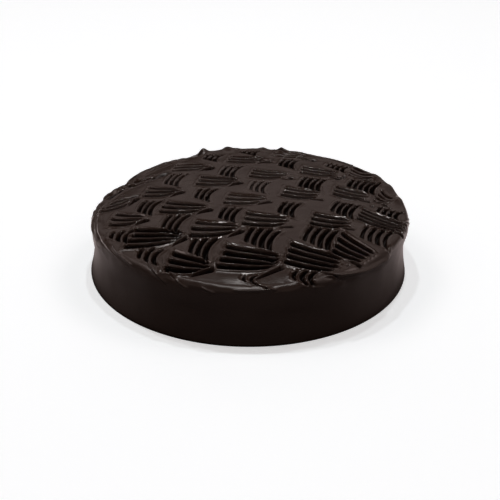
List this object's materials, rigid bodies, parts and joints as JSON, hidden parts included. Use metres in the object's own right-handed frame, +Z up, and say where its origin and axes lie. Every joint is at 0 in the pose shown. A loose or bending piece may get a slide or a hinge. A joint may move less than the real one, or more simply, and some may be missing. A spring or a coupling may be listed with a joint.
{
  "type": "sachertorte cake",
  "caption": "Whole round low torte under dark chocolate icing, with waisted side, soft overhanging lip and a domed top combed in a crosswise pattern.",
  "frame": {"origin": "centre of the flat underside of the cake, on the surface it stands on", "axes": "+Z up through the middle of the cake; -Y toward the viewer of the picture, +X to the viewer's right"},
  "size_m": [0.225, 0.225, 0.0492],
  "materials": {
    "chocolate_icing": "soft satin-gloss dark chocolate icing, a little greasy, never lacquered"
  },
  "bodies": {
    "root": {"iced_cake": "chocolate_icing"}
  },
  "joints": []
}
